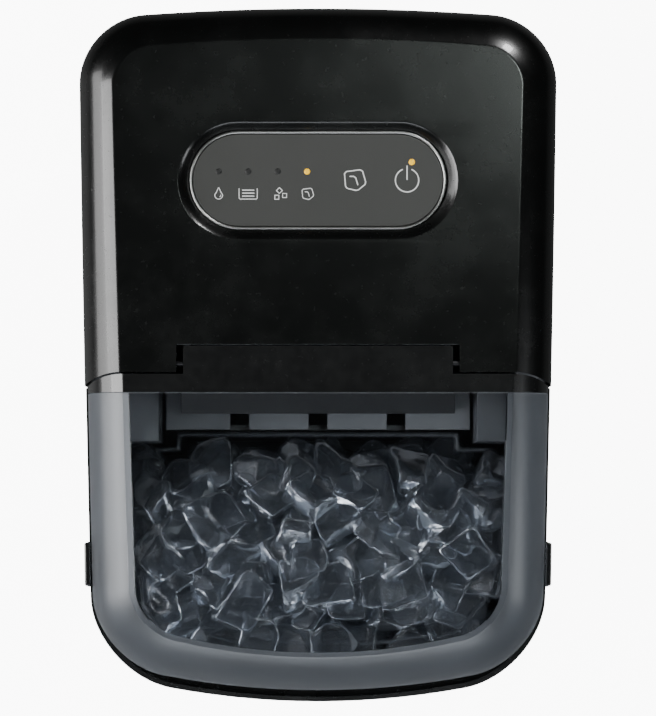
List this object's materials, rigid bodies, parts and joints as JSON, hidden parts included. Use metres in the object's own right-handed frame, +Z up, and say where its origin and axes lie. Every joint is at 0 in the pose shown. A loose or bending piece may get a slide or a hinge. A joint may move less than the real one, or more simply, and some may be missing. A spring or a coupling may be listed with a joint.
{
  "type": "ice maker",
  "caption": "Countertop bullet-ice maker with a sloping black deck, stadium control panel, see-through front lid, lift-out ice basket and cooling works inside.",
  "frame": {"origin": "on the floor under the middle of the case", "axes": "+Z up, -Y towards the user and the lid, +X to the user's right"},
  "size_m": [0.243, 0.355, 0.3262],
  "materials": {
    "black": "glossy black moulded",
    "deck": "glossy black moulded deck",
    "rubber": "matt",
    "smoke": "clear smoked window, polished",
    "chrome": "thin bright trim",
    "panel": "satin membrane",
    "grey": "satin grey moulded",
    "foam": "foamed in place",
    "ice": "clear ice",
    "steel": "rolled",
    "copper": "drawn copper tube",
    "board": "circuit board",
    "white": "natural moulded"
  },
  "bodies": {
    "housing": {"base_pan": "steel", "foot_front_left": "rubber", "foot_front_right": "rubber", "foot_rear_left": "rubber", "foot_rear_right": "rubber", "body_shell": "black", "rear_panel": "black", "rear_screw_1": "steel", "rear_screw_2": "steel", "rear_screw_3": "steel", "rear_screw_4": "steel", "cable_inlet": "rubber", "vent_grille_left": "black", "vent_grille_right": "black", "top_cover": "deck", "hinge_pin_left": "steel", "hinge_pin_right": "steel", "recess_bezel": "deck", "panel_rim": "chrome", "panel_face": "panel", "light_guide": "white", "control_board": "board", "liner_tub": "grey", "insulation_foam": "foam", "ice_guide_comb": "grey", "sensor_pod_left": "grey", "sensor_pod_right": "grey", "evaporator": "steel", "evaporator_bracket": "steel", "tray_motor": "steel", "water_pump": "white", "pump_hose": "white", "drain_hose": "white", "drain_spout": "black", "compressor_lower": "black", "compressor_upper": "black", "compressor_plate": "steel", "compressor_grommet_1": "rubber", "compressor_grommet_2": "rubber", "compressor_grommet_3": "rubber", "condenser": "steel", "fan_shroud": "black", "fan_motor": "steel", "filter_drier": "copper", "suction_pipe": "copper", "discharge_pipe": "copper", "hot_gas_pipe": "copper", "gas_valve": "copper", "capillary_tube": "copper", "power_board": "board"},
    "lid": {"lid_window": "smoke", "lid_hinge_bar": "black"},
    "basket": {"ice_basket": "grey", "ice_pile": "ice"},
    "tray": {"water_tray": "grey"},
    "shovel": {"ice_shovel": "grey"},
    "fan": {"fan_blade": "white"},
    "select_key": {"select_key": "white"},
    "power_key": {"power_key": "white"},
    "drain_cap": {"drain_cap": "rubber"}
  },
  "joints": [
    {"name": "lid_hinge", "type": "hinge", "parent": "housing", "child": "lid", "pos_m": [0, -0.0025, 0.29773], "axis": [-1, 0, 0], "range_deg": [0, 95]},
    {"name": "basket_lift", "type": "slide", "parent": "housing", "child": "basket", "axis": [0, 0, 1], "range_m": [0, 0.018]},
    {"name": "tray_tilt", "type": "hinge", "parent": "housing", "child": "tray", "pos_m": [0, 0.022, 0.232], "axis": [1, 0, 0], "range_deg": [0, 75]},
    {"name": "shovel_slide", "type": "slide", "parent": "housing", "child": "shovel", "axis": [0, -1, 0], "range_m": [0, 0.02]},
    {"name": "fan_spin", "type": "hinge", "parent": "housing", "child": "fan", "pos_m": [0.082, 0.113, 0.074], "axis": [1, 0, 0], "continuous": true},
    {"name": "select_press", "type": "slide", "parent": "housing", "child": "select_key", "axis": [0, 0.1492, -0.9888], "range_m": [0, 0.0004], "stiffness_N_per_m": 300},
    {"name": "power_press", "type": "slide", "parent": "housing", "child": "power_key", "axis": [0, 0.1492, -0.9888], "range_m": [0, 0.0004], "stiffness_N_per_m": 300},
    {"name": "drain_cap_pull", "type": "slide", "parent": "housing", "child": "drain_cap", "axis": [1, 0, 0], "range_m": [0, 0.012]}
  ],
  "couplings": [
    {"joint": "shovel_slide", "follows": "tray_tilt", "m_per_rad": 0.01527}
  ]
}
